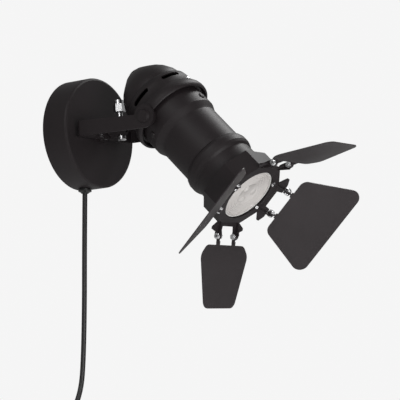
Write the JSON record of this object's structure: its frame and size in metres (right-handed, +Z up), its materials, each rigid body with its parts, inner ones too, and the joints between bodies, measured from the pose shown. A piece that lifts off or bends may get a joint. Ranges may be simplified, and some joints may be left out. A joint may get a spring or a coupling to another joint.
{
  "type": "pivoting spotlight wall light",
  "caption": "Wall spotlight with round canopy, swivelling yoke, tilting drum head, adjustable barn door flaps and a plug-in cord.",
  "frame": {"origin": "centre of the canopy's back face on the wall", "axes": "+Z up, +Y into the wall, +X to the right as seen facing the wall"},
  "size_m": [0.1826, 0.276, 0.4525],
  "materials": {
    "black_coat": "matte black powder coat",
    "flap_coat": "matte black powder coat, sheet",
    "bright_steel": "bright zinc plated steel",
    "zinc_steel": "zinc plated steel",
    "black_plastic": "matte black plastic",
    "cord_sheath": "black cord sheath",
    "ceramic": "white glazed ceramic",
    "bulb_shell": "white lamp shell",
    "lens_pane": "frosted clear front",
    "brass_pins": "nickel plated brass"
  },
  "bodies": {
    "base": {"canopy_cover": "black_coat", "wall_bracket": "zinc_steel", "stem_post": "zinc_steel", "cover_screw": "bright_steel", "terminal_block": "black_plastic", "cord_clamp": "black_plastic", "stem": "black_coat", "yoke_spacer": "black_coat", "inner_nut": "zinc_steel", "lock_nut": "black_coat", "lock_washer": "bright_steel", "cable_clamp": "black_coat", "clamp_bolt": "bright_steel", "clamp_nut": "bright_steel", "cord_grommet": "black_plastic", "cord": "cord_sheath", "cord_coil": "cord_sheath", "coil_tie": "black_plastic", "cord_tail": "cord_sheath", "plug_body": "black_plastic", "plug_pins": "brass_pins"},
    "yoke_arm": {"yoke": "black_coat"},
    "head": {"pivot_screws": "black_coat", "rear_cap": "black_coat", "lead_grommet": "black_plastic", "cap_screws": "black_coat", "lamp_body": "black_coat", "lampholder": "ceramic", "holder_bridge": "zinc_steel", "bulb_body": "bulb_shell", "bulb_lens": "lens_pane", "bulb_pins": "brass_pins", "snap_ring": "black_coat"},
    "barn_ring": {"barn_door_frame": "black_coat", "frame_back_ring": "black_coat", "flap_right_screws": "bright_steel", "flap_top_screws": "bright_steel", "flap_left_screws": "bright_steel", "flap_bottom_screws": "bright_steel"},
    "flap_right_door": {"flap_right": "flap_coat"},
    "flap_top_door": {"flap_top": "flap_coat"},
    "flap_left_door": {"flap_left": "flap_coat"},
    "flap_bottom_door": {"flap_bottom": "flap_coat"}
  },
  "joints": [
    {"name": "yoke_swivel", "type": "hinge", "parent": "base", "child": "yoke_arm", "pos_m": [0, -0.03, 0], "axis": [0, -1, 0], "range_deg": [-85, 85]},
    {"name": "head_tilt", "type": "hinge", "parent": "yoke_arm", "child": "head", "pos_m": [-0.00016, -0.1035, 0.00149], "axis": [0.9945, 0, 0.1045], "range_deg": [-3, 24]},
    {"name": "frame_turn", "type": "hinge", "parent": "head", "child": "barn_ring", "pos_m": [0.00637, -0.16854, -0.06058], "axis": [0.0764, -0.682, -0.7273], "range_deg": [-45, 45]},
    {"name": "flap_right_hinge", "type": "hinge", "parent": "barn_ring", "child": "flap_right_door", "pos_m": [0.04895, -0.18463, -0.07346], "axis": [0.0713, 0.7314, -0.6783], "range_deg": [-50, 45]},
    {"name": "flap_top_hinge", "type": "hinge", "parent": "barn_ring", "child": "flap_top_door", "pos_m": [0.00525, -0.21462, -0.04994], "axis": [0.9945, 0, 0.1045], "range_deg": [-50, 45]},
    {"name": "flap_left_hinge", "type": "hinge", "parent": "barn_ring", "child": "flap_left_door", "pos_m": [-0.0326, -0.18463, -0.08203], "axis": [-0.0713, -0.7314, 0.6783], "range_deg": [-50, 45]},
    {"name": "flap_bottom_hinge", "type": "hinge", "parent": "barn_ring", "child": "flap_bottom_door", "pos_m": [0.01109, -0.15465, -0.10555], "axis": [-0.9945, 0, -0.1045], "range_deg": [-50, 45]}
  ]
}
